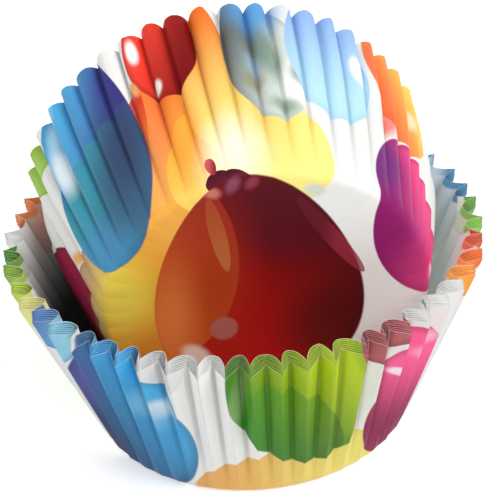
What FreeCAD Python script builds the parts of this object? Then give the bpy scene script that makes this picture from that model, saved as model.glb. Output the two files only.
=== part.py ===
import FreeCAD, Part
import math
import os

# A nest of paper cupcake liners, with one more liner lying on its side in the top one.
# Millimetres, +Z up, the front towards -Y, the origin under the middle of the lowest base.
# Every liner is one round sheet of paper: a flat base, and a wall that is gathered into pleats,
# which start at nothing on the base edge and are deepest at the rim.

doc = FreeCAD.newDocument("cupcake_liners")

# Driving dimensions: alias, value, what it is. Lengths in mm, angles in degrees.
DIMENSIONS = [
    ("base_diameter", 50.0, "across the base, to the corner that the wall starts from"),
    ("wall_length", 32.4, "paper from the base corner to the rim, along the wall"),
    ("wall_flare", 20.0, "lean of a nested liner's wall from upright"),
    ("base_fold", 0.7, "set-back of the soft fold on both sides of the base corner"),
    ("paper_thickness", 0.05, "one sheet"),
    ("pleat_count", 48, "pleats round one liner"),
    ("foot_length", 5.0, "up the wall from the base corner to where the pleats have formed"),
    ("rim_crowding", 0.16, "share by which the nested pleats are pressed together at the front"),
    ("nested_count", 7, "liners standing one inside the other"),
    ("nest_air", 0.02, "air between two nested walls, measured level"),
    ("rest_gap", 0.3, "least air between the tilted liner and the nest"),
    ("tilt_lean", 10.0, "rise of the tilted liner's axis towards the back"),
    ("tilt_turn", 6.0, "turn of that axis about the upright"),
    ("tilt_side", 3.0, "tilted liner's base centre, to the right of the nest's middle"),
    ("tilt_rise", 1.6, "its base edge above the nest's floor, besides the least air"),
    ("tilt_setback", 3.5, "its base edge back from where it would meet the nest's wall"),
    ("rim_width", 63.2, "tilted liner's rim where nothing holds it in, side to side"),
    ("rim_tallness", 66.8, "the same, bottom to top"),
    ("rim_side_shift", -1.6, "rim centre, to the right of the liner's own axis"),
    ("rim_down_shift", 1.8, "rim centre, below that axis"),
    ("rim_softness", 0.8, "how widely the rim rounds off where the nest holds it in"),
    ("bend_length", 23.0, "up its wall to where the wall bends in, if the nest holds the rim in"),
    ("bend_flare", 17.0, "degrees that the wall leans out up to there"),
    ("bend_draw", 2.0, "how far the nest holds the rim in where that bend is complete"),
]

sheet = doc.addObject("Spreadsheet::Sheet", "Dimensions")
for row, (alias, value, meaning) in enumerate(DIMENSIONS, start=1):
    sheet.set("A%d" % row, alias)
    sheet.set("B%d" % row, str(value))
    sheet.setAlias("B%d" % row, alias)
    sheet.set("C%d" % row, meaning)
doc.recompute()

base_radius = sheet.base_diameter / 2
wall_length = sheet.wall_length
wall_flare = math.radians(sheet.wall_flare)
base_fold = sheet.base_fold
foot_length = sheet.foot_length
bend_length = sheet.bend_length
bend_flare = math.radians(sheet.bend_flare)
paper = sheet.paper_thickness
pleat_count = int(sheet.pleat_count)
nested_count = int(sheet.nested_count)
rest_gap = sheet.rest_gap

FRONT = -math.pi / 2
FOLD_COUNT = 2 * pleat_count
FOLD_STEP = 2 * math.pi / FOLD_COUNT


def level(angle, length):
    """A level vector of this length, pointing out from the axis at this angle."""
    return FreeCAD.Vector(length * math.cos(angle), length * math.sin(angle), 0)


def upright(length):
    return FreeCAD.Vector(0, 0, length)


def pleat_depth(half_width, length):
    """Depth of a pleat this far up the wall: it takes up what the flat sheet has to spare."""
    flat_width = (base_radius + length) * FOLD_STEP
    return math.sqrt(flat_width ** 2 - half_width ** 2)


class Wall:
    """A liner's wall: the line that its pleats lie about, and the folds of the pleats.

    Folds are numbered round from the front; the even ones point outward. points_at gives, at
    an angle, the end of each straight run of the wall; run_ends are their lengths up the wall.
    crowding presses the folds together at the front, more so higher up, counted from the foot
    of a nest in which this liner starts raised this far."""

    def __init__(self, points_at, run_ends, flare, crowding=0, raised=0):
        self.points_at = points_at
        self.run_ends = run_ends
        self.flare = flare
        self.crowding = crowding
        self.raised = raised / math.cos(flare)

    def crowding_at(self, length):
        return self.crowding * (self.raised + length) / wall_length

    def angle(self, fold, length):
        even = FOLD_STEP * fold
        return FRONT + even - self.crowding_at(length) * math.sin(even)

    def middle(self, fold, length):
        """The point between the outward and the inward folds, this far up the wall."""
        angle = self.angle(fold, length)
        start = level(angle, base_radius)
        start_length = 0
        for end, end_length in zip(self.points_at(angle), self.run_ends):
            if length <= end_length:
                break
            start = end
            start_length = end_length
        return start + (end - start) * ((length - start_length) / (end_length - start_length))

    def half_width(self, fold, length):
        """From a fold to the next, along the wall's middle line."""
        middle = self.middle(fold, length)
        closeness = 1 - self.crowding_at(length) * math.cos(FOLD_STEP * fold)
        return math.hypot(middle.x, middle.y) * FOLD_STEP * closeness

    def depth(self, fold, length, pleated):
        return pleat_depth(self.half_width(fold, length), length) if pleated else 0

    def level_thickness(self, fold, length, pleated):
        """The paper's thickness measured level, where it leans as the pleats do."""
        steepness = self.depth(fold, length, pleated) / self.half_width(fold, length)
        return paper * math.sqrt(1 + steepness ** 2 + math.tan(self.flare) ** 2)

    def point(self, fold, length, pleated, inside):
        """A corner of the folded sheet, on its outer or its inner side."""
        shift = self.depth(fold, length, pleated) / 2
        if fold % 2 == 1:
            shift = -shift
        if inside:
            shift -= self.level_thickness(fold, length, pleated)
        return self.middle(fold, length) + level(self.angle(fold, length), shift)


def facet(*corners):
    """A flat face between these points."""
    return Part.Face(Part.makePolygon(list(corners) + [corners[0]]))


def skin(wall, inside):
    """One side of the paper: its faces, and its rim points for the cut edge. The pleats grow
    from each corner point to the foot, and from there run straight to the end of each run."""
    corner_turn = (math.pi / 2 - wall.flare) / 2
    base_reach = base_radius - base_fold
    base_rise = 0
    fold_length = base_fold
    if inside:
        base_reach -= paper * math.tan(corner_turn / 2)
        base_rise = paper
        fold_length += paper * (math.tan(corner_turn / 2) + math.tan(wall.flare))
    ridges = range(0, FOLD_COUNT, 2)
    base = [level(wall.angle(fold, 0), base_reach) + upright(base_rise) for fold in ridges]
    corner = [wall.point(fold, fold_length, False, inside) for fold in ridges]
    rings = [[wall.point(fold, length, True, inside) for fold in range(FOLD_COUNT)]
             for length in [foot_length] + wall.run_ends]
    foot = rings[0]

    faces = [facet(*base)]
    for pleat in range(pleat_count):
        following = (pleat + 1) % pleat_count
        valley = 2 * pleat + 1
        faces.append(facet(base[pleat], base[following], corner[pleat]))
        faces.append(facet(base[following], corner[following], corner[pleat]))
        faces.append(facet(corner[pleat], corner[following], foot[valley]))
        for side in (pleat, following):
            ridge = 2 * side
            faces.append(facet(corner[side], foot[ridge], foot[valley]))
            for lower, upper in zip(rings, rings[1:]):
                faces.append(facet(lower[ridge], upper[ridge], lower[valley]))
                faces.append(facet(upper[ridge], upper[valley], lower[valley]))
    return faces, rings[-1]


def liner_shape(wall):
    """One liner: the two sides of the paper, closed along the rim's cut edge."""
    faces, outer_rim = skin(wall, inside=False)
    inner_faces, inner_rim = skin(wall, inside=True)
    faces += inner_faces
    for fold in range(FOLD_COUNT):
        following = (fold + 1) % FOLD_COUNT
        faces.append(facet(outer_rim[fold], outer_rim[following], inner_rim[fold]))
        faces.append(facet(outer_rim[following], inner_rim[following], inner_rim[fold]))
    shell = Part.makeShell(faces)
    shell.sewShape()
    solid = Part.makeSolid(Part.Shell(shell.Faces))
    if solid.Volume < 0:
        solid.reverse()
    return solid


def add_liner(name, shape, placement):
    """A liner as an object of the document, with its place set after its shape."""
    liner = doc.addObject("Part::Feature", name)
    liner.Label = name
    liner.Shape = shape
    liner.Placement = placement
    return liner


# The nested liners: each is lifted clear of the last, with its pleats in line with them all.

rim_radius = base_radius + wall_length * math.sin(wall_flare)
rim_height = wall_length * math.cos(wall_flare)


def nested_points_at(angle):
    return [level(angle, rim_radius) + upright(rim_height)]


def nested_wall(raised):
    return Wall(nested_points_at, [wall_length], wall_flare, sheet.rim_crowding, raised)


def lift_between_liners():
    """The least lift at which every inward fold, the steepest part of a wall, keeps its air."""
    wall = nested_wall(0)
    lift = 0
    for fold in range(1, FOLD_COUNT, 2):
        stations = [(base_fold, False), (foot_length, True), (wall_length, True)]
        for (lower_length, lower_pleated), (upper_length, upper_pleated) in zip(stations, stations[1:]):
            lower = wall.point(fold, lower_length, lower_pleated, False)
            upper = wall.point(fold, upper_length, upper_pleated, False)
            growth = math.hypot(upper.x, upper.y) - math.hypot(lower.x, lower.y)
            thickness = wall.level_thickness(fold, upper_length, upper_pleated)
            lift = max(lift, (thickness + sheet.nest_air) * (upper.z - lower.z) / growth)
    return lift


nest_lift = lift_between_liners()
liners = []
for number in range(nested_count):
    raised = nest_lift * number
    place = FreeCAD.Placement(upright(raised), FreeCAD.Rotation())
    shape = liner_shape(nested_wall(raised))
    liners.append(add_liner("nested_liner_%d" % (number + 1), shape, place))


# The room inside the top nested liner: a cone along its tightest inward fold, and its floor.

top_lift = nest_lift * (nested_count - 1)
floor_height = top_lift + paper
top_wall = nested_wall(top_lift)
foot_fold = top_wall.point(1, foot_length, True, True)
rim_fold = top_wall.point(1, wall_length, True, True)
foot_room = math.hypot(foot_fold.x, foot_fold.y)
rim_room = math.hypot(rim_fold.x, rim_fold.y)
room_slope = (rim_room - foot_room) / (rim_fold.z - foot_fold.z)


def room_at(point):
    """How far a point is from the nest's inside, level or upright, whichever is less."""
    wall_room = foot_room + room_slope * (point.z - top_lift - foot_fold.z)
    return min(wall_room - math.hypot(point.x, point.y), point.z - floor_height)


def furthest(is_clear, near, far):
    """The largest value from near to far that is clear, by halving the span."""
    for halving in range(40):
        middle = (near + far) / 2
        if is_clear(middle):
            near = middle
        else:
            far = middle
    return near


def soft_least(first, second, softness):
    """A value just under the lesser of two, with no corner where they cross."""
    return -softness * math.log(math.exp(-first / softness) + math.exp(-second / softness))


# The tilted liner lies with its base to the front and its rim to the back. The rim is oval,
# and drawn in where the nest leaves it less room, by a bend part-way up the wall.

tilt = FreeCAD.Rotation(upright(1), sheet.tilt_turn).multiply(
    FreeCAD.Rotation(FreeCAD.Vector(1, 0, 0), sheet.tilt_lean - 90))
edge_height = floor_height + rest_gap + sheet.tilt_rise
base_height = edge_height + base_radius * math.cos(math.radians(sheet.tilt_lean))


def tilted_place(forward):
    return FreeCAD.Placement(FreeCAD.Vector(sheet.tilt_side, -forward, base_height), tilt)


def base_edge_is_clear(forward):
    place = tilted_place(forward)
    edge = [place.multVec(level(FOLD_STEP * fold, base_radius)) for fold in range(FOLD_COUNT)]
    return min(room_at(point) for point in edge) >= rest_gap


furthest_forward = furthest(base_edge_is_clear, 0, base_radius)
tilted_placement = tilted_place(furthest_forward - sheet.tilt_setback)
rim_shift = FreeCAD.Vector(sheet.rim_side_shift, sheet.rim_down_shift, 0)
half_width = sheet.rim_width / 2
half_tallness = sheet.rim_tallness / 2


def end_of_run(angle, start, run_length, reach):
    """The end of a straight run of wall that reaches this far from the rim's centre line."""
    point = rim_shift + level(angle, reach)
    spread = (point - FreeCAD.Vector(start.x, start.y, 0)).Length
    return point + upright(start.z + math.sqrt(run_length ** 2 - spread ** 2))


def reach_of(point):
    return (FreeCAD.Vector(point.x, point.y, 0) - rim_shift).Length


# A run of wall may lean in by up to this share of its own length.
INWARD_LEAN = 0.9


def reach_left(angle, start, start_length, end_length, most):
    """The reach, up to the most wanted, that leaves the outward folds their air to the nest."""
    run_length = end_length - start_length
    least = max(0, reach_of(start) - INWARD_LEAN * run_length)

    def is_clear(reach):
        point = end_of_run(angle, start, run_length, reach)
        depth = pleat_depth(math.hypot(point.x, point.y) * FOLD_STEP, end_length)
        fold_point = tilted_placement.multVec(point + level(angle, depth / 2))
        return room_at(fold_point) >= rest_gap

    return soft_least(most, furthest(is_clear, least, most), sheet.rim_softness)


def tilted_points_at(angle):
    """The bend and the rim. The rim is an oval, drawn in where the nest leaves it less room.
    Where it is, the wall first leans out at the bend's flare if it can, and then bends in."""
    corner = level(angle, base_radius)
    free_reach = half_width * half_tallness / math.hypot(half_tallness * math.cos(angle),
                                                         half_width * math.sin(angle))
    straight_reach = reach_left(angle, corner, 0, wall_length, free_reach)
    straight_bend = corner + (end_of_run(angle, corner, wall_length, straight_reach)
                              - corner) * (bend_length / wall_length)
    flared_reach = reach_of(level(angle, base_radius + bend_length * math.sin(bend_flare)))
    held_reach = reach_left(angle, corner, 0, bend_length, flared_reach)
    held = min(1, (free_reach - straight_reach) / sheet.bend_draw)
    bend_reach = reach_of(straight_bend) * (1 - held) + held_reach * held
    bend = end_of_run(angle, corner, bend_length, bend_reach)
    rim_reach = reach_left(angle, bend, bend_length, wall_length, free_reach)
    return [bend, end_of_run(angle, bend, wall_length - bend_length, rim_reach)]


tilted_flare = math.asin(((half_width + half_tallness) / 2 - base_radius) / wall_length)
tilted_wall = Wall(tilted_points_at, [bend_length, wall_length], tilted_flare)
liners.append(add_liner("tilted_liner", liner_shape(tilted_wall), tilted_placement))

doc.recompute()
for item in doc.Objects:
    if "Invalid" in item.State or "Error" in item.State:
        raise RuntimeError("%s did not recompute" % item.Label)
for liner in liners:
    if liner.Shape.isNull() or not liner.Shape.isValid():
        raise RuntimeError("%s has no valid shape" % liner.Label)

os.makedirs("parts", exist_ok=True)
for liner in liners:
    liner.Shape.exportStep("parts/%s.step" % liner.Label)
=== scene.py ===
import math

import bpy
import numpy as np
from mathutils import Matrix, Vector


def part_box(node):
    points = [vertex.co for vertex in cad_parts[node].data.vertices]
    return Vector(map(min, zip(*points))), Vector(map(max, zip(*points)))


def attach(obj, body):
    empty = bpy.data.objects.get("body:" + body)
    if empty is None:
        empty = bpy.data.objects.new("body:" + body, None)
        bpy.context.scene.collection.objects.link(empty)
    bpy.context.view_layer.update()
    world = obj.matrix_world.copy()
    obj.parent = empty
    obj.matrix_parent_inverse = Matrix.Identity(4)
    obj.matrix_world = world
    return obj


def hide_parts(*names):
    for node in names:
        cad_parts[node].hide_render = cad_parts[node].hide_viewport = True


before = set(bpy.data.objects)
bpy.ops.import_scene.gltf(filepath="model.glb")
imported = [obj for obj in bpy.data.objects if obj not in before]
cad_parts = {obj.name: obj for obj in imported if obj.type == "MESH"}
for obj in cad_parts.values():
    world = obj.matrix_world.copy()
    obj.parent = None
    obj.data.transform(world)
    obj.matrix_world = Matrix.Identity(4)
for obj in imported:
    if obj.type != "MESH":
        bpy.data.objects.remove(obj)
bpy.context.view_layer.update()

# Printed paper cupcake liners: a nest of them, and one more lying on its side in the top one.
# Lengths are in metres, in the frame of the solids: +Z up, the front towards -Y.

# The flat sheet, how it is folded, and how the liners lie.
BASE_RADIUS = 0.0250
WALL_LENGTH = 0.0324
BEND_LENGTH = 0.0230
SHEET_RADIUS = BASE_RADIUS + WALL_LENGTH
PAPER = 0.00005
CORNER = 0.0012
PLEATS = 48
PLEAT_STEP = 2 * math.pi / PLEATS
FRONT = -math.pi / 2
RIM_CROWDING = 0.16
NESTED_WALL_FLARE = math.radians(20)
TILT_LEAN = math.radians(10)
TILT_TURN = math.radians(6)
NESTED_COUNT = 7
MILLIMETRES = 1000

# How finely a liner's surface is made. The rings lie closer together near the corner of the base,
# and a fan fills the small hole in the middle of it.
POINTS_PER_PLEAT = 16
BASE_RINGS = 7
BASE_SPREAD = 1.8
BASE_HOLE = 0.01
CORNER_RINGS = 5
WALL_RINGS = 16
WALL_SPREAD = 1.2
EDGE = 0.00006

# From which share of a wall's height up the solid's corners belong to its bend and to its rim.
BEND_FROM = 0.4
RIM_FROM = 0.8
BEND_SOFTNESS = 0.004

# A pleat starts as a dent in the base, and becomes rounder on one side than on the other.
ROUNDNESS = 2.9
DENT_REACH = 0.0045
DENT_DEPTH = 0.0001

# Where many walls lie in one another, the top one is the roundest inward.
NESTED_INWARD = (0.5, 0.95)
NESTED_INWARD_RISE = 0.0007
TILTED_INWARD = 0.12
TILTED_DEPTH_SHARE = 0.68

# Irregular folds, at the rim: sideways in pleats, the others in metres.
SIDEWAYS = 0.10
IN_OUT = 0.00024
UP_DOWN = 0.00016
OWN_LENGTH = 0.00012

# A base bulges softly, as two waves across each other: radians per metre along X and Y, and a start.
TILTED_WAVINESS = 0.00012
BULGE_WAVES = ((270, 80, 0), (-90, 210, 1))
BULGE_GROWTH = 4

# Seeds of the folds that the liners of a nest share, and of those of each liner's own.
NESTED_SEED, NESTED_OWN_SEED = 11, 100
TILTED_SEED, TILTED_OWN_SEED = 47, 147


class Ring:
    """A ring of a solid's corners: the mean radius and height of its pleats at an angle."""

    def __init__(self, corners):
        angle = np.arctan2(corners[:, 1], corners[:, 0])
        order = np.argsort(angle)
        angle = angle[order]
        starts = np.flatnonzero(np.diff(angle, prepend=angle[0] - 1) > PLEAT_STEP / 8)
        corners = corners[order]
        self.angles = angle[starts]
        radius = np.hypot(corners[:, 0], corners[:, 1])
        self.radii = self.mean_of(np.maximum.reduceat(radius, starts))
        self.heights = self.mean_of(np.maximum.reduceat(corners[:, 2], starts))

    def mean_of(self, values):
        return (values + (np.roll(values, 1) + np.roll(values, -1)) / 2) / 2

    def at(self, angle):
        return np.stack([np.interp(angle, self.angles, self.radii, period=2 * math.pi),
                         np.interp(angle, self.angles, self.heights, period=2 * math.pi)])


class Wall:
    """The line that a liner's pleats lie about, read from its solid."""

    def __init__(self, node, turned):
        corners = np.array([vertex.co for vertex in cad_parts[node].data.vertices])
        local = corners @ np.array(turned.to_3x3())
        base = local[local[:, 2] < local[:, 2].min() + PAPER / 4]
        self.origin = (base.min(0) + base.max(0)) / 2
        local = local - self.origin
        height_share = local[:, 2] / local[:, 2].max()
        bend = local[(height_share > BEND_FROM) & (height_share < RIM_FROM)]
        self.rim = Ring(local[height_share > RIM_FROM])
        self.bend = Ring(bend) if len(bend) else None

    def at(self, length, angle):
        """Radius and height this far up the wall, with a soft bend where the solid has one."""
        corner = np.array([[BASE_RADIUS], [0]])
        if self.bend is None:
            return corner + (self.rim.at(angle) - corner) * length / WALL_LENGTH
        lower = (self.bend.at(angle) - corner) / BEND_LENGTH
        upper = (self.rim.at(angle) - self.bend.at(angle)) / (WALL_LENGTH - BEND_LENGTH)
        past_bend = (np.hypot(length - BEND_LENGTH, BEND_SOFTNESS) + length - BEND_LENGTH) / 2
        return corner + lower * length + (upper - lower) * past_bend


def smooth(share):
    share = np.clip(share, 0, 1)
    return share * share * (3 - 2 * share)


def fold_shape(share, inward):
    """0 at an outward fold and 1 at an inward one; share runs from one outward fold to the next.
    inward is 0 for pleats that are round outward and sharp inward, and 1 for the reverse."""
    across = 2 * np.minimum(share, 1 - share)
    round_outward = across ** ROUNDNESS
    round_inward = 1 - (1 - across) ** ROUNDNESS
    return round_outward + (round_inward - round_outward) * inward


def pleat_depth(half_width, length):
    """How deep the pleats are this far up the wall, where half of one takes this width."""
    flat_width = (BASE_RADIUS + length) * PLEAT_STEP / 2
    return np.sqrt(np.maximum(flat_width ** 2 - half_width ** 2, 0))


def periodic_noise(seed, amount):
    """A value for each half pleat, read between them round the liner."""
    values = np.random.default_rng(seed).uniform(-amount, amount, 2 * PLEATS)
    turns = np.arange(2 * PLEATS) * PLEAT_STEP / 2

    def at(even):
        return np.interp(even, turns, values, period=2 * math.pi)
    return at


def ring_lengths():
    """How far each ring of the surface is from the base's corner, along the flat sheet."""
    base_length = BASE_RADIUS * (1 - BASE_HOLE) - CORNER
    base = -CORNER - base_length * np.linspace(1, 0, BASE_RINGS + 1)[:-1] ** BASE_SPREAD
    corner = np.linspace(-CORNER, CORNER, CORNER_RINGS)
    straight = WALL_LENGTH - EDGE - CORNER
    wall = CORNER + straight * np.linspace(0, 1, WALL_RINGS + 1)[1:] ** WALL_SPREAD
    return np.concatenate([base, corner, wall, [WALL_LENGTH]])


def surface(wall, raised, crowding, inward, inward_rise, depth_share, waviness, seed, own_seed):
    """The paper's outer side as rings of points, with the flat sheet's place for each point.
    inward_rise is how much higher the rim is at the inward folds; depth_share is how deep the
    pleats are beside the solid's; waviness is how far the base bulges."""
    share = np.arange(POINTS_PER_PLEAT) / POINTS_PER_PLEAT
    columns = PLEATS * POINTS_PER_PLEAT
    even = np.arange(columns) * PLEAT_STEP / POINTS_PER_PLEAT
    fold = np.tile(fold_shape(share, inward), PLEATS)
    sideways = periodic_noise(seed, SIDEWAYS * PLEAT_STEP)(even)
    in_out = periodic_noise(seed + 1, IN_OUT)(even)
    rim_rise = (periodic_noise(seed + 2, UP_DOWN)(even)
                + periodic_noise(own_seed, OWN_LENGTH)(even) + inward_rise * fold)
    rings, sheets = [], []
    for length in ring_lengths():
        up = max(length, 0)
        grown = up / WALL_LENGTH
        press = crowding * (raised + up) / WALL_LENGTH
        angle = FRONT + even - press * np.sin(even) + sideways * grown
        if length <= -CORNER:
            radius = np.full(columns, BASE_RADIUS + length)
            dent = DENT_DEPTH * smooth((length + DENT_REACH) / (DENT_REACH - CORNER))
            across, along = radius * np.cos(angle), radius * np.sin(angle)
            bulge = math.prod(np.sin(over_x * across + over_y * along + start)
                              for over_x, over_y, start in BULGE_WAVES)
            bulging = waviness * smooth(-BULGE_GROWTH * length / BASE_RADIUS)
            height = dent * fold + bulge * bulging
        else:
            radius, height = wall.at(up + rim_rise * grown ** 2, angle)
            if length < CORNER:
                around = (length + CORNER) / (2 * CORNER)
                end_radius, end_height = wall.at(CORNER, angle)
                radius = (BASE_RADIUS * (1 - around ** 2) - CORNER * (1 - around) ** 2
                          + end_radius * around ** 2)
                height = end_height * around ** 2 + DENT_DEPTH * fold * (1 - around)
            half_width = radius * PLEAT_STEP / 2 * (1 - press * np.cos(even))
            depth = pleat_depth(half_width, up) * smooth(up / CORNER)
            radius = radius + depth * (0.5 - depth_share * fold) + in_out * grown
        ring = np.stack([radius * np.cos(angle), radius * np.sin(angle), height], axis=1)
        rings.append(ring)
        step = np.linalg.norm(np.roll(ring, -1, axis=0) - ring, axis=1)
        step = step.reshape(PLEATS, POINTS_PER_PLEAT)
        gone = (np.cumsum(step, axis=1) - step) / step.sum(1, keepdims=True)
        taken = FRONT + (gone + np.arange(PLEATS)[:, None]).ravel() * PLEAT_STEP
        flat = BASE_RADIUS + length
        sheets.append(np.stack([flat * np.cos(taken), flat * np.sin(taken)], axis=1))
    return np.array(rings), np.array(sheets)


def normals_of(rings):
    around = np.roll(rings, -1, axis=1) - np.roll(rings, 1, axis=1)
    along = np.gradient(rings, axis=0)
    normal = np.cross(around, along)
    return normal / np.linalg.norm(normal, axis=2, keepdims=True)


# The materials of a liner, in the order of its mesh's slots.
OUTSIDE, INSIDE, CUT = 0, 1, 2


def liner_mesh(name, rings, sheets, materials):
    """A closed skin: the outer side, the inner side a paper's thickness in, and the cut edge."""
    inner = rings - normals_of(rings) * PAPER
    ring_count, columns = rings.shape[:2]
    points = np.concatenate([rings.reshape(-1, 3), inner.reshape(-1, 3),
                             [rings[0].mean(0), inner[0].mean(0)]])
    flat = np.concatenate([sheets.reshape(-1, 2), sheets.reshape(-1, 2), np.zeros((2, 2))])
    shift = ring_count * columns
    index = np.arange(shift).reshape(ring_count, columns)
    after = np.roll(index, -1, axis=1)
    outer_faces = np.stack([index[:-1], after[:-1], after[1:], index[1:]], axis=-1).reshape(-1, 4)
    inner_faces = outer_faces[:, ::-1] + shift
    edge_faces = np.stack([index[-1], after[-1], after[-1] + shift, index[-1] + shift], axis=-1)
    middle = np.full(columns, 2 * shift)
    outer_fan = np.stack([after[0], index[0], middle], axis=-1)
    inner_fan = np.stack([index[0] + shift, after[0] + shift, middle + 1], axis=-1)
    faces = [*outer_faces.tolist(), *outer_fan.tolist(), *inner_faces.tolist(), *inner_fan.tolist(),
             *edge_faces.tolist()]
    mesh = bpy.data.meshes.new(name)
    mesh.from_pydata(points.tolist(), [], faces)
    slots = np.repeat([OUTSIDE, CUT, OUTSIDE, INSIDE, CUT],
                      [len(outer_faces) - columns, columns, columns, len(inner_faces) + columns,
                       columns])
    mesh.polygons.foreach_set("material_index", slots)
    mesh.polygons.foreach_set("use_smooth", np.ones(len(faces), bool))
    layer = mesh.uv_layers.new(name="sheet")
    corner_points = np.empty(len(mesh.loops), int)
    mesh.loops.foreach_get("vertex_index", corner_points)
    layer.data.foreach_set("uv", (0.5 + flat[corner_points] / (2 * SHEET_RADIUS)).ravel())
    for material in materials:
        mesh.materials.append(material)
    mesh.validate()
    return mesh


def link(name, data):
    made = bpy.data.objects.new(name, data)
    bpy.context.scene.collection.objects.link(made)
    return made


def add_liner(node, turned, materials, **shape):
    wall = Wall(node, turned)
    rings, sheets = surface(wall, **shape)
    turn = np.array(turned.to_3x3())
    placed = (rings + wall.origin) @ turn.T
    name = node + "_paper"
    piece = link(name, liner_mesh(name, placed, sheets, materials))
    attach(piece, "root")
    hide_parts(node)


# The print, in millimetres on the flat sheet, whose middle is the middle of the base. A balloon is
# an oval with a dark and a light side; a spot is a soft patch of one colour.
PAPER_WHITE = (0.86, 0.86, 0.84, 1)
OUTLINE_SOFTNESS = 0.012
OUTLINE_FROM = 0.86
LIT_RANGE = (-0.95, 0.85)


def linear(code):
    """The colour that an sRGB code such as c83214 stands for, as Blender counts it."""
    shares = [int(code[at:at + 2], 16) / 255 for at in (0, 2, 4)]
    return [share / 12.92 if share <= 0.04045 else ((share + 0.055) / 1.055) ** 2.4
            for share in shares] + [1]


def balloon(centre, radii, turn, dark, light, lit_from, opacity=1, ink=0, taper=0, rim=0.4,
            within=None):
    """turn and lit_from are in degrees. opacity lets what is below show, ink darkens by it, taper
    narrows one end, rim darkens the outline, and within keeps to the inside of another balloon."""
    lit = math.radians(lit_from)
    return {"within": within, "Centre": (*centre, 0), "Radii": (*radii, 1),
            "Turn": (0, 0, math.radians(turn)), "Dark": linear(dark), "Light": linear(light),
            "Lit From": (math.cos(lit), math.sin(lit), 0), "Opacity": opacity, "Ink": ink,
            "Taper": taper, "Rim": rim, "Softness": OUTLINE_SOFTNESS}


def spot(centre, radii, turn, colour, opacity=1, softness=0.6, within=None):
    made = balloon(centre, radii, turn, colour, colour, 0, opacity, rim=0, within=within)
    made["Softness"] = softness
    return made


BLUE = balloon((-36.6, -27), (14.5, 22.5), -50, "3c378c", "55b4e6", 150)
RED = balloon((-1.4, -3.3), (15.6, 22), -4, "5a0008", "c30606", 140, taper=0.22, rim=0.5)
GREY = balloon((5.3, -47.4), (8.8, 13.5), -12, "5f696b", "dce6dc", 35, rim=0.25)
MAGENTA = balloon((26.8, -10.8), (10.6, 14), -4, "8c1469", "f5508c", 25)

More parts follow.
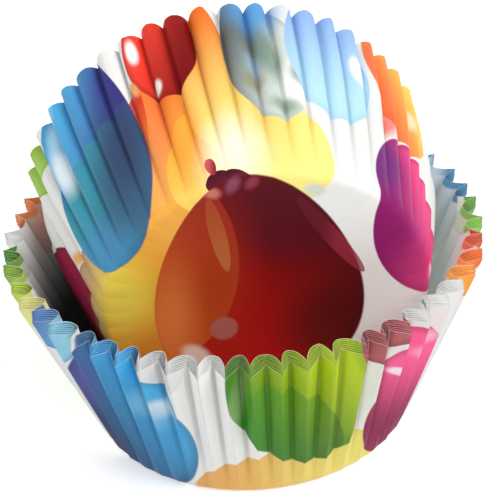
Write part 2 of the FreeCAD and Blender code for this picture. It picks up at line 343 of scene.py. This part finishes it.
TILTED_PRINT = [
    # The left wall, and what lies under the middle balloon on its left.
    balloon((-56, -13), (6.5, 10), -8, "78aa32", "aad264", 20),
    balloon((-23.5, 2), (8.5, 16), -20, "5a3219", "cda57d", 240, rim=0.3),
    balloon((-36, 9.5), (10.5, 13.7), 0, "3c0010", "96083c", 250),
    balloon((-15.4, -29.5), (9, 16), -12, "eb4b0f", "ffb464", 115, rim=0.05),
    balloon((-22.8, -33), (2.7, 8.6), -16, "dc1e0f", "ff7d37", 80, opacity=0.9, rim=0.1),
    balloon((-9, 0), (15.8, 23), 0, "d77d1e", "eb9b2d", 205, rim=0.1),
    spot((-22, -5), (5, 8.5), -6, "f2d750", opacity=0.95, softness=0.9),
    spot((-13, -18), (5, 7), 0, "f5b450", opacity=0.8, softness=0.8),
    spot((-14, 12), (9, 10), 0, "dc7d23", opacity=0.85, softness=0.7),
    BLUE,
    balloon((-20, -17), (18.5, 30), 28, "3a2454", "3c9baf", 160, opacity=0.94, within=BLUE, rim=0),
    spot((-26, -12), (7, 4), -30, "4b96c8", opacity=0.8, within=BLUE),
    spot((-26.5, -30), (6.5, 12), -16, "32325f", opacity=0.85, softness=0.8, within=BLUE),
    spot((-33.5, -42), (5, 8), -40, "373282", opacity=0.9, softness=0.6, within=BLUE),
    spot((-42.5, -19.5), (4.5, 2.6), 30, "f0faff", opacity=0.95, within=BLUE),
    spot((-49, -25), (4, 2), 60, "d2f0fa", opacity=0.8, within=BLUE),
    spot((-34.5, -6), (1.2, 1.7), 40, "f5aa46", opacity=0.9),
    balloon((-52, 7), (4, 6), 0, "d25a0a", "ff963c", 200),
    # The orange and yellow fields behind the middle balloon.
    balloon((-1.5, -29.5), (14, 13), 0, "fab93c", "fff08c", 40, rim=0.12),
    balloon((-8.2, -44.7), (7.2, 16.5), -19, "f0640f", "ffe178", 80, rim=0.05),
    spot((-12.5, -33), (3.4, 8), -14, "ffa03c", opacity=0.7),
    spot((-3.8, -29.5), (4.4, 5.4), 0, "ffffe6", opacity=0.9, softness=0.85),
    spot((7.5, -20.8), (1.6, 1.1), 20, "d2dcd2", opacity=0.9, softness=0.5),
    # The top of the wall.
    balloon((-19.5, -50), (9.5, 11), -14, "780008", "ff4632", 185),
    spot((-26.3, -47), (1.1, 2.4), -30, "ffffff", opacity=0.95, softness=0.4),
    spot((-18.8, -41.3), (1.2, 1.3), 0, "ffffff", opacity=0.95, softness=0.4),
    spot((-24.5, -40.3), (1.8, 0.8), 35, "f5b46e", opacity=0.9, softness=0.4),
    GREY,
    spot((4, -50), (3, 5), -10, "505a5a", opacity=0.6, within=GREY),
    spot((7, -46), (2.6, 4.4), -8, "6e8c78", opacity=0.7, within=GREY),
    spot((11, -39.6), (3, 4), 0, "ffffff", opacity=0.95),
    spot((12, -41.6), (1.6, 1.9), 0, "78917d", opacity=0.8),
    spot((7.2, -36.6), (2.6, 1.4), 20, "829b82", opacity=0.8),
    spot((2.2, -42), (2.2, 1.7), 0, "968c5f", opacity=0.7, within=GREY),
    spot((2.6, -45), (1.6, 2.4), -14, "96b9d2", opacity=0.7, within=GREY),
    spot((6, -57.5), (7, 6), 8, "5aa0dc", opacity=0.95, softness=0.5),
    balloon((23.6, -44.2), (12.4, 14), 8, "8cafeb", "bee9fa", 110, rim=0.2),
    spot((29.4, -38), (1.7, 3), 20, "ffffff", opacity=0.95, softness=0.35),
    # The right wall.
    balloon((48.4, -28), (15.5, 17), 0, "fa7846", "ffe664", 20, rim=0.1),
    spot((31.8, -26.5), (3, 2), 0, "eb5f3c", opacity=0.8),
    spot((44, -21), (2, 3), 0, "fff0c8", opacity=0.8),
    MAGENTA,
    spot((23, -23), (7, 5), 30, "6e327d", opacity=0.8, within=MAGENTA),
    spot((19.5, -11), (2.6, 4.5), 0, "8c145f", opacity=0.6, within=MAGENTA),
    spot((26.5, -0.6), (1.1, 1.3), 0, "ffd2e1", opacity=0.7, within=MAGENTA),
    # The dark balloon in the middle of the base, with its neck and knot.
    balloon((-4.8, -24.1), (3.6, 2.4), 8, "46081a", "7d142d", 60, rim=0.2),
    balloon((-7.6, -27), (0.8, 1.5), -24, "8c2832", "d25a5f", 180, taper=-0.3, rim=0.3),
    RED,
    spot((1, -17), (12, 8.5), 12, "4b0519", opacity=0.75, within=RED),
    spot((11, 7), (8, 8), 0, "320000", opacity=0.6, within=RED),
    balloon((9.9, -11.6), (1.25, 9.6), -31, "641424", "96283c", 60, opacity=0.85, rim=0),
    balloon((-17, -9.5), (13, 20), 0, "9b281c", "e66e1e", 115, opacity=0.92, within=RED, rim=0),
    spot((-7.5, -3), (4.5, 13), 4, "aa280f", opacity=0.6, softness=0.9, within=RED),
    spot((-14.5, 3), (3, 9), 4, "eb8c4b", opacity=0.5, softness=0.9, within=RED),
    balloon((-6.9, -14.3), (1.2, 7.3), -9, "aa4b28", "be6e3c", 90, opacity=0.8, rim=0),
    spot((-7.4, -22.6), (1.2, 0.9), 30, "d2826e", opacity=0.8, within=RED),
    spot((-4.4, -23.6), (0.9, 1.5), 24, "8c4b64", opacity=0.8),
    spot((-1.6, -23.6), (0.8, 1.2), 40, "9b3c50", opacity=0.7),
    spot((-11.3, 9.8), (1.7, 2.8), -36, "f5dccd", opacity=0.9, softness=0.4),
    spot((-6.8, 4.6), (2.1, 2.4), 0, "b4645f", opacity=0.92, softness=0.12),
]

NESTED_BLUE = balloon((-28, -31), (15.5, 19), -38, "1a0f4b", "46b4eb", 285)
NESTED_GREEN = balloon((11.3, -50), (17.2, 21.5), -14, "1e7d05", "c8dc23", 320, taper=-0.25)
NESTED_PINK = balloon((31.5, -25.5), (10, 15.5), 50, "870a4b", "ff64a0", 330)

NESTED_PRINT = [
    # The front.
    balloon((6, -23.5), (16.5, 12), 6, "e6af5f", "ebe178", 0, rim=0.2),
    NESTED_BLUE,
    spot((-22, -41), (2.8, 2), 0, "f0fafc", opacity=0.95, within=NESTED_BLUE),
    spot((-24.5, -38.5), (5, 3), 0, "8cc8e6", opacity=0.7, within=NESTED_BLUE),
    spot((-39, -27), (4, 9), -30, "5a50a5", opacity=0.6, within=NESTED_BLUE),
    spot((-25, -52.5), (6.5, 5.4), 26, "dedede", softness=0.02),
    balloon((38, -51), (14, 11), 37, "500a0f", "be646a", 110),
    NESTED_GREEN,
    balloon((1.5, -37), (16.5, 16), 0, "055005", "419614", 250, opacity=0.5, within=NESTED_GREEN, rim=0),
    spot((-4.5, -50), (2, 7), 10, "a0be82", opacity=0.6, within=NESTED_GREEN),
    NESTED_PINK,
    spot((34, -33.6), (2.6, 1), 50, "fff0f5", opacity=0.95, softness=0.35),
    spot((41.5, -28), (1.6, 4), -40, "ffc8dc", opacity=0.85, within=NESTED_PINK),
    # The sides and the back, from the right round to the left.
    balloon((59, -15), (8.5, 8.5), 0, "f56e14", "ffb43c", 250),
    balloon((61, -2), (6, 5.5), 0, "b4280a", "fa6e32", 250),
    balloon((60, 10), (8, 8.5), 10, "4b961e", "96d24b", 250),
    balloon((47, 30), (17, 14), 60, "145a96", "3ca0d2", 30),
    spot((42, 12), (10, 14), 0, "1e826e", opacity=0.75),
    balloon((22, 47), (17, 15), 20, "5a2882", "c878be", 60),
    balloon((-4, 50), (15, 17), 0, "f0a01e", "fff078", 80),
    balloon((-27, 46), (15, 13), -30, "c80a14", "ff6e50", 120, ink=0.4),
    balloon((-50, 27), (8, 9), 30, "e6641e", "ffa05a", 200),
    balloon((-58.5, -1), (5.5, 11.5), 0, "37870f", "bed741", 268),
    balloon((-56, -17), (6, 4.5), 20, "dcd25a", "f0f0a0", 0),
    balloon((-51.5, -26.5), (8.5, 7), 30, "3c5fb4", "96d7eb", 325),
    # The base, and the lights on the back.
    balloon((20, 12), (16, 20), -20, "143c96", "50a0e6", 120),
    balloon((-16, 14), (18, 16), 30, "1e7800", "96c83c", 160, ink=0.3),
    spot((47, 32), (4, 2.5), 40, "ebfaff", opacity=0.7),
    spot((-30, 50), (4, 2), 30, "fff0eb", opacity=0.7),
]

# The shade in the gap beside the tilted liner, on the inside of the nest.
NESTED_SHADE = [spot((-27, 5), (25, 29), 0, "000000", opacity=0.98, softness=0.5)]

# The paper: its fibres, in waves per millimetre, and how much of the print shows on each side.
FIBRE_SCALE, FIBRE_DETAIL, FIBRE_ROUGHNESS = 1.6, 6.0, 0.6
FIBRE_RANGE = (0.25, 0.75)
MOTTLING = 0.05
BUMP_STRENGTH = 0.12
BUMP_DEPTH = 0.0001
PAPER_ROUGHNESS = 0.5
SHOWN_INSIDE_NEST, SHOWN_NEAR_RIM = 0.35, 0.9
SHOWN_INSIDE_TILTED = 0.3
SHOWN_BETWEEN, SHOWN_AT_NEST_EDGE, SHOWN_AT_TILTED_EDGE = 0.8, 0.5, 0.6
# The painted glow of the inner sides: the paper's colour given off as light, in place of the light that
# comes through the sheet.
NEST_PAINTED_GLOW, TILTED_PAINTED_GLOW = 0.14, 0.1
# How dark the painted shade along the inward folds is, on the nest and on the tilted liner.
NEST_FOLD_SHADE, TILTED_FOLD_SHADE = 0.25, 0.28
TILTED_SPECULAR = 0.15

# In millimetres: how far from the rim the print comes through, and how far from the base's corner
# the painted shade along the inward folds starts and is full. It falls where the pleats' wave goes this
# low.
RIM_BAND = (1.6, 1.0)
FOLD_SHADE_GROWTH = (1, 16)
FOLD_SHADE_RANGE = (-0.55, -1.0)


def add(tree, kind, *values, **settings):
    """A node with these inputs, each a socket or a plain value; its first output is returned."""
    node = tree.nodes.new("ShaderNode" + kind)
    for name, setting in settings.items():
        setattr(node, name, setting)
    for socket, value in zip(node.inputs, values):
        if value is not None:
            put(tree, value, socket)
    return node.outputs[0]


def put(tree, value, socket):
    if isinstance(value, bpy.types.NodeSocket):
        tree.links.new(value, socket)
    else:
        socket.default_value = value


def math_of(tree, operation, *values):
    return add(tree, "Math", *values, operation=operation)


def number_of(tree, operation, *vectors):
    """The one number, a length or a product, that comes out of vectors."""
    return add(tree, "VectorMath", *vectors, operation=operation).node.outputs["Value"]


def mix_colour(tree, share, first, second, blend="MIX"):
    node = tree.nodes.new("ShaderNodeMix")
    node.data_type = "RGBA"
    node.blend_type = blend
    for place, value in ((0, share), (6, first), (7, second)):
        put(tree, value, node.inputs[place])
    return node.outputs[2]


def eased(tree, value, low, high):
    """0 below low and 1 above high, smoothly."""
    return add(tree, "MapRange", value, low, high, 0.0, 1.0, interpolation_type="SMOOTHSTEP")


def make_group(name, inputs, outputs):
    group = bpy.data.node_groups.new(name, "ShaderNodeTree")
    for in_out, sockets in (("INPUT", inputs), ("OUTPUT", outputs)):
        for label, kind in sockets:
            group.interface.new_socket(label, in_out=in_out, socket_type="NodeSocket" + kind)
    return group, group.nodes.new("NodeGroupInput").outputs, group.nodes.new("NodeGroupOutput").inputs


def balloon_group():
    """Paints one balloon over what is below it."""
    group, given, results = make_group("balloon", [
        ("Sheet", "Vector"), ("Below", "Color"), ("Within", "Float"), ("Centre", "Vector"),
        ("Radii", "Vector"), ("Turn", "Vector"), ("Dark", "Color"), ("Light", "Color"),
        ("Lit From", "Vector"), ("Opacity", "Float"), ("Ink", "Float"), ("Taper", "Float"),
        ("Rim", "Float"), ("Softness", "Float")], [("Painted", "Color"), ("Inside", "Float")])
    local = add(group, "Mapping", given["Sheet"], given["Centre"], given["Turn"], given["Radii"],
                vector_type="TEXTURE")
    across = add(group, "SeparateXYZ", local)
    along = across.node.outputs[1]
    widened = math_of(group, "MULTIPLY_ADD", given["Taper"], along, 1.0)
    across = math_of(group, "DIVIDE", across, widened)
    reach = number_of(group, "LENGTH", add(group, "CombineXYZ", across, along, 0.0))
    inner = math_of(group, "SUBTRACT", 1.0, given["Softness"])
    outer = math_of(group, "ADD", 1.0, given["Softness"])
    inside = math_of(group, "SUBTRACT", 1.0, eased(group, reach, inner, outer))
    place = add(group, "VectorMath", given["Sheet"], given["Centre"], operation="SUBTRACT")
    scaled = add(group, "VectorMath", place, given["Radii"], operation="DIVIDE")
    lit = number_of(group, "DOT_PRODUCT", scaled, given["Lit From"])
    colour = mix_colour(group, eased(group, lit, *LIT_RANGE), given["Dark"], given["Light"])
    outline = math_of(group, "MULTIPLY", eased(group, reach, OUTLINE_FROM, 1.0), given["Rim"])
    colour = mix_colour(group, outline, colour, given["Dark"])
    over_print = mix_colour(group, 1.0, colour, given["Below"], "MULTIPLY")
    inked = mix_colour(group, given["Ink"], colour, over_print)
    share = math_of(group, "MULTIPLY", inside, given["Opacity"])
    share = math_of(group, "MULTIPLY", share, given["Within"])
    group.links.new(mix_colour(group, share, given["Below"], inked), results[0])
    group.links.new(inside, results[1])
    return group


def painted(tree, painter, sheet, shapes, below):
    """The colour below with the shapes laid over it, from a place on the flat sheet in millimetres."""
    insides = {}
    for shape in shapes:
        node = tree.nodes.new("ShaderNodeGroup")
        node.node_tree = painter
        for label, value in shape.items():
            if label != "within":
                node.inputs[label].default_value = value
        node.inputs["Within"].default_value = 1
        if shape["within"]:
            tree.links.new(insides[id(shape["within"])], node.inputs["Within"])
        put(tree, sheet, node.inputs["Sheet"])
        put(tree, below, node.inputs["Below"])
        below = node.outputs["Painted"]
        insides[id(shape)] = node.outputs["Inside"]
    return below


def print_group(name, painter, shapes):
    group, given, results = make_group(name, [("Sheet", "Vector")], [("Painted", "Color")])
    group.links.new(painted(group, painter, given["Sheet"], shapes, PAPER_WHITE), results[0])
    return group


def new_material(name, roughness):
    material = bpy.data.materials.new(name)
    material.use_nodes = True
    shader = material.node_tree.nodes["Principled BSDF"]
    shader.inputs["Roughness"].default_value = roughness
    return material, material.node_tree, shader


def sheet_place(tree):
    """Where on the flat sheet a point of the paper is, in millimetres from the middle."""
    uv = tree.nodes.new("ShaderNodeUVMap")
    uv.uv_map = "sheet"
    spread = 2 * SHEET_RADIUS * MILLIMETRES
    return add(tree, "Mapping", uv.outputs[0], (-spread / 2, -spread / 2, 0), (0, 0, 0),
               (spread, spread, 1), vector_type="POINT")


def with_fold_shade(tree, place, reach, fold_shade, colour):
    """The colour, darkened by painted shade along the inward folds."""
    across = add(tree, "SeparateXYZ", place)
    angle = math_of(tree, "ARCTAN2", across.node.outputs[1], across)
    wave = math_of(tree, "COSINE", math_of(tree, "MULTIPLY", angle, PLEATS))
    grown = eased(tree, reach, *(BASE_RADIUS * MILLIMETRES + past for past in FOLD_SHADE_GROWTH))
    folded = math_of(tree, "MULTIPLY", eased(tree, wave, *FOLD_SHADE_RANGE), grown)
    return mix_colour(tree, math_of(tree, "MULTIPLY", folded, fold_shade), colour, (0, 0, 0, 1))


def paper_material(name, painter, print_tree, shown, glow=0, shown_near_rim=None, specular=0.25,
                   shade=(), fold_shade=0):
    """Paper with this much of the print showing: all of it outside, a little of it inside. glow is
    a painted glow, the paper's colour given off as light in place of the light that comes through
    the sheet; shade are soft dark spots of painted shade over it all; and the last argument is how
    dark the painted shade along the inward folds is."""
    material, tree, shader = new_material(name, PAPER_ROUGHNESS)
    place = sheet_place(tree)
    node = tree.nodes.new("ShaderNodeGroup")
    node.node_tree = print_tree
    tree.links.new(place, node.inputs[0])
    fibre = add(tree, "TexNoise", place, None, FIBRE_SCALE, FIBRE_DETAIL, FIBRE_ROUGHNESS)
    reach = number_of(tree, "LENGTH", place)
    if shown_near_rim:
        near_rim = eased(tree, reach, *(SHEET_RADIUS * MILLIMETRES - short for short in RIM_BAND))
        shown = math_of(tree, "MULTIPLY_ADD", near_rim, shown_near_rim - shown, shown)
    printed = mix_colour(tree, shown, PAPER_WHITE, node.outputs[0])
    colour = mix_colour(tree, MOTTLING, printed, eased(tree, fibre, *FIBRE_RANGE), "OVERLAY")
    # Painted shade: the colour is darkened along the inward folds.
    if fold_shade:
        colour = with_fold_shade(tree, place, reach, fold_shade, colour)
    colour = painted(tree, painter, place, shade, colour)
    tree.links.new(colour, shader.inputs["Base Color"])
    # A painted glow: emission of the paper's colour, in place of the light that comes through the sheet.
    if glow:
        tree.links.new(colour, shader.inputs["Emission Color"])
        shader.inputs["Emission Strength"].default_value = glow
    shader.inputs["Specular IOR Level"].default_value = specular
    bump = tree.nodes.new("ShaderNodeBump")
    bump.inputs["Strength"].default_value = BUMP_STRENGTH
    bump.inputs["Distance"].default_value = BUMP_DEPTH
    tree.links.new(fibre, bump.inputs["Height"])
    tree.links.new(bump.outputs[0], shader.inputs["Normal"])
    return material


def make_nest(painter):
    printed = print_group("nested_print", painter, NESTED_PRINT)
    outside = paper_material("nested_outside", painter, printed, 1.0, fold_shade=NEST_FOLD_SHADE)
    inside = paper_material("nested_inside", painter, printed, SHOWN_INSIDE_NEST,
                            shown_near_rim=SHOWN_NEAR_RIM)
    top_inside = paper_material("nested_top_inside", painter, printed, SHOWN_INSIDE_NEST,
                                glow=NEST_PAINTED_GLOW, shown_near_rim=SHOWN_NEAR_RIM, shade=NESTED_SHADE)
    edge = paper_material("nested_cut", painter, printed, SHOWN_AT_NEST_EDGE)
    edge_between = paper_material("nested_edge", painter, printed, SHOWN_BETWEEN)
    for number in range(NESTED_COUNT):
        lowest, top = number == 0, number == NESTED_COUNT - 1
        materials = [outside, top_inside if top else inside, edge if lowest or top else edge_between]
        node = "nested_liner_%d" % (number + 1)
        upper_share = number / (NESTED_COUNT - 1)
        inward_low, inward_high = NESTED_INWARD
        add_liner(node, Matrix.Identity(3), materials,
                  raised=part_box(node)[0].z / math.cos(NESTED_WALL_FLARE), crowding=RIM_CROWDING,
                  inward=inward_low + (inward_high - inward_low) * upper_share,
                  inward_rise=NESTED_INWARD_RISE * (1 - upper_share), depth_share=1, waviness=0,
                  seed=NESTED_SEED, own_seed=NESTED_OWN_SEED + number)


def make_tilted(painter):
    printed = print_group("tilted_print", painter, TILTED_PRINT)
    materials = [
        paper_material("tilted_outside", painter, printed, 1.0, specular=TILTED_SPECULAR,
                       fold_shade=TILTED_FOLD_SHADE),
        paper_material("tilted_inside", painter, printed, SHOWN_INSIDE_TILTED, glow=TILTED_PAINTED_GLOW),
        paper_material("tilted_cut", painter, printed, SHOWN_AT_TILTED_EDGE)]
    turned = Matrix.Rotation(TILT_TURN, 3, "Z") @ Matrix.Rotation(TILT_LEAN - math.pi / 2, 3, "X")
    add_liner("tilted_liner", turned, materials, raised=0, crowding=0, inward=TILTED_INWARD,
              inward_rise=0, depth_share=TILTED_DEPTH_SHARE, waviness=TILTED_WAVINESS,
              seed=TILTED_SEED, own_seed=TILTED_OWN_SEED)


# The camera looks down on the front of the nest.
CAMERA_DISTANCE = 0.320
CAMERA_ELEVATION = math.radians(32.4)
CAMERA_ROLL = math.radians(-4.15)
CAMERA_AIM = Vector((-0.00013, 0, 0.02848))
CAMERA_DEPTH = 20
FOCAL_PIXELS = 2032.5
IMAGE_WIDTH, IMAGE_HEIGHT = 486, 500
SENSOR = 36


def add_camera():
    data = bpy.data.cameras.new("camera")
    data.sensor_width = SENSOR
    data.lens = FOCAL_PIXELS * SENSOR / max(IMAGE_WIDTH, IMAGE_HEIGHT)
    data.clip_start = CAMERA_DISTANCE / CAMERA_DEPTH
    data.clip_end = CAMERA_DISTANCE * CAMERA_DEPTH
    camera = link("camera", data)
    forward = Vector((0, math.cos(CAMERA_ELEVATION), -math.sin(CAMERA_ELEVATION)))
    up = Vector((0, math.sin(CAMERA_ELEVATION), math.cos(CAMERA_ELEVATION)))
    across = Vector((1, 0, 0))
    rolled_across = across * math.cos(CAMERA_ROLL) + up * math.sin(CAMERA_ROLL)
    rolled_up = up * math.cos(CAMERA_ROLL) - across * math.sin(CAMERA_ROLL)
    turn = Matrix((rolled_across, rolled_up, -forward)).transposed()
    place = CAMERA_AIM - forward * CAMERA_DISTANCE
    camera.matrix_world = Matrix.Translation(place) @ turn.to_4x4()
    bpy.context.scene.camera = camera


# The light: the strength of the world where it is not seen, and each lamp's name, place, width and
# watts. The floor's glow lifts what is seen of it to white.
WORLD_LIGHT = 0.58
LAMPS = [
    ("key", (0.35, -0.35, 0.60), 0.35, 3.1),
    ("fill", (-0.50, -0.30, 0.35), 0.40, 0.7),
]
FLOOR_SIZE = 3.0
FLOOR_COLOUR = (0.9, 0.9, 0.9, 1)
FLOOR_ROUGHNESS = 0.9
FLOOR_GLOW = 0.45
WHITE = (1, 1, 1, 1)


def seen_directly(tree):
    """1 where the camera sees something itself or by way of gloss or glass, and 0 elsewhere."""
    path = tree.nodes.new("ShaderNodeLightPath")
    seen = path.outputs["Is Camera Ray"]
    for other in ("Is Glossy Ray", "Is Transmission Ray"):
        seen = math_of(tree, "MAXIMUM", seen, path.outputs[other])
    return seen


def add_world():
    world = bpy.data.worlds.new("studio")
    bpy.context.scene.world = world
    world.use_nodes = True
    tree = world.node_tree
    background = tree.nodes["Background"]
    background.inputs["Color"].default_value = WHITE
    strength = add(tree, "MapRange", seen_directly(tree), 0.0, 1.0, WORLD_LIGHT, 1.0)
    tree.links.new(strength, background.inputs["Strength"])


def add_lamps():
    for name, place, width, watts in LAMPS:
        data = bpy.data.lights.new(name, "AREA")
        data.shape = "DISK"
        data.size = width
        data.energy = watts
        lamp = link(name, data)
        lamp.location = place
        lamp.rotation_mode = "QUATERNION"
        lamp.rotation_quaternion = (CAMERA_AIM - Vector(place)).to_track_quat("-Z", "Y")


def add_floor():
    """A plain pale floor. What is seen of it is lifted to white, and keeps the shadow."""
    half = FLOOR_SIZE / 2
    mesh = bpy.data.meshes.new("floor")
    corners = [(-half, -half, 0), (half, -half, 0), (half, half, 0), (-half, half, 0)]
    mesh.from_pydata(corners, [], [(0, 1, 2, 3)])
    material, tree, shader = new_material("floor", FLOOR_ROUGHNESS)
    shader.inputs["Base Color"].default_value = FLOOR_COLOUR
    shader.inputs["Emission Color"].default_value = WHITE
    glow = math_of(tree, "MULTIPLY", seen_directly(tree), FLOOR_GLOW)
    tree.links.new(glow, shader.inputs["Emission Strength"])
    mesh.materials.append(material)
    floor = link("floor", mesh)


balloon_painter = balloon_group()
make_nest(balloon_painter)
make_tilted(balloon_painter)
add_camera()
add_world()
add_lamps()
add_floor()
bpy.context.scene.view_settings.view_transform = "Standard"
